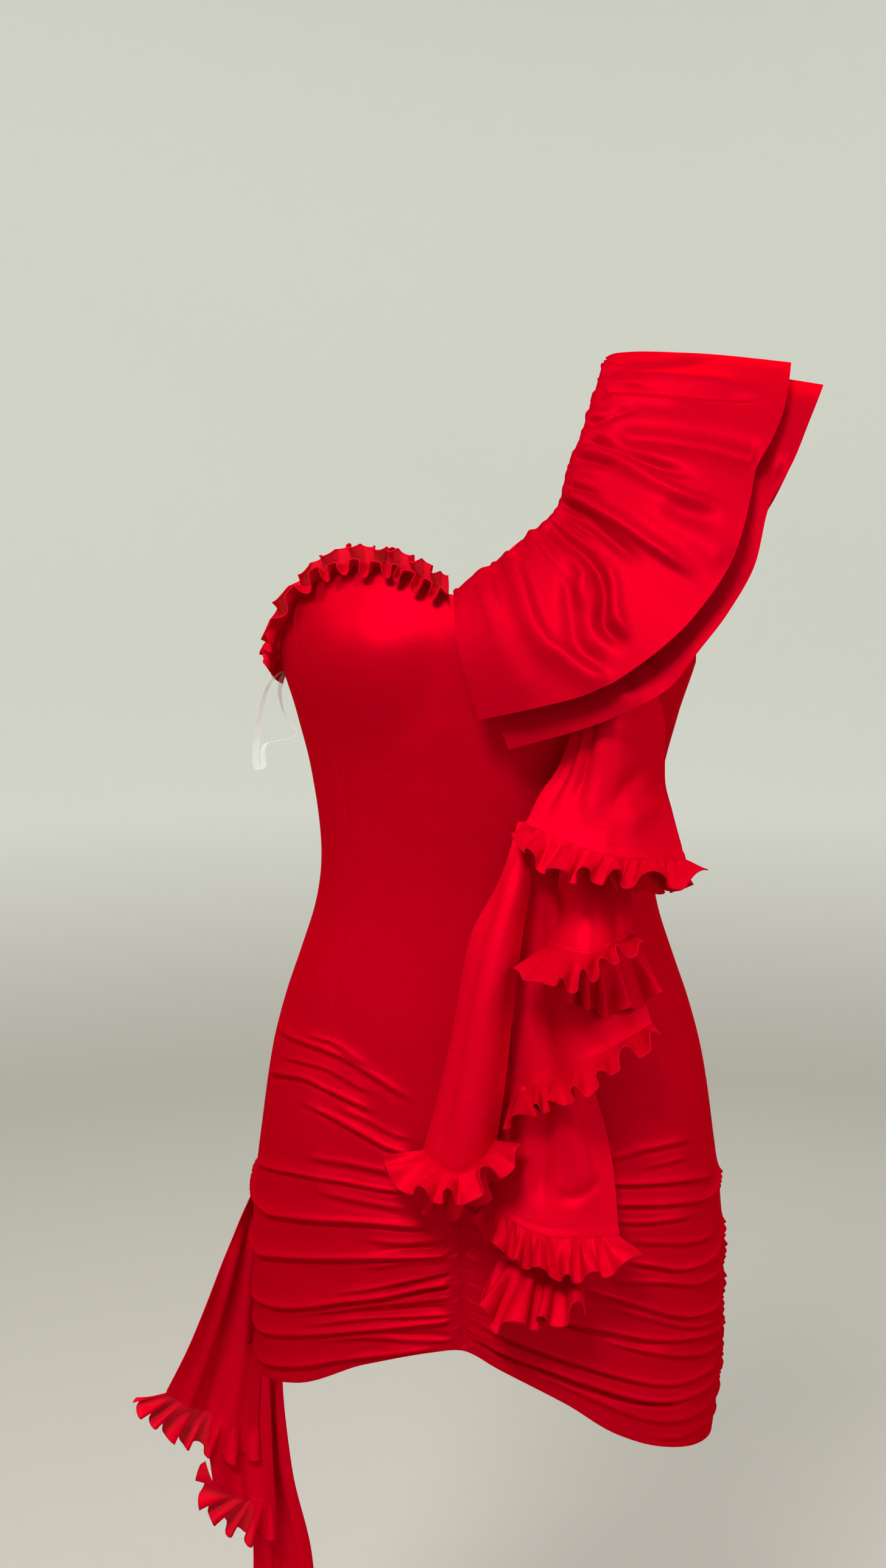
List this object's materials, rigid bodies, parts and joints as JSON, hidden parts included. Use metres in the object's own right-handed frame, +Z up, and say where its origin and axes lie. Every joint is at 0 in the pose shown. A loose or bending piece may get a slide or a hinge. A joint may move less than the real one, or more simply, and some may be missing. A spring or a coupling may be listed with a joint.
{
  "type": "one-shoulder dress",
  "caption": "One-shoulder mini dress with a gathered ruffle collar over the shoulder, a frilled sweetheart edge, a ruched skirt, a cascading front flounce and a frilled hip train.",
  "frame": {"origin": "under the strap, at the top of the wearer's left shoulder, where the dress is held", "axes": "+Z up, +X towards the wearer's left, the front faces -Y"},
  "size_m": [0.5374, 0.3223, 1.1933],
  "materials": {
    "stretch_knit": "matte satin knit",
    "ruffle_crepe": "soft satin crepe",
    "frill_crepe": "sheer crepe with overlocked edges",
    "clear_elastic": "clear and smooth"
  },
  "bodies": {
    "root": {"front_side_right": "stretch_knit", "front_centre": "stretch_knit", "front_left": "stretch_knit", "back": "stretch_knit", "shoulder_front": "stretch_knit", "shoulder_back": "stretch_knit", "collar_ruffle_under": "ruffle_crepe", "collar_ruffle_top": "ruffle_crepe", "flounce_fold_1": "ruffle_crepe", "flounce_fold_2": "ruffle_crepe", "flounce_fold_3": "ruffle_crepe", "flounce_fold_4": "ruffle_crepe", "flounce_fold_5": "ruffle_crepe", "flounce_fold_6": "ruffle_crepe", "train_fold_1": "ruffle_crepe", "train_fold_2": "ruffle_crepe", "train_fold_3": "ruffle_crepe", "neckline_frill_upper": "frill_crepe", "neckline_frill_lower": "frill_crepe", "flounce_frill_1a": "frill_crepe", "flounce_frill_1b": "frill_crepe", "flounce_frill_2a": "frill_crepe", "flounce_frill_2b": "frill_crepe", "flounce_frill_3a": "frill_crepe", "flounce_frill_4a": "frill_crepe", "flounce_frill_4b": "frill_crepe", "flounce_frill_5a": "frill_crepe", "flounce_frill_6a": "frill_crepe", "train_frill_1": "frill_crepe", "train_frill_2": "frill_crepe", "train_frill_3": "frill_crepe", "hanger_loop": "clear_elastic"}
  },
  "joints": []
}
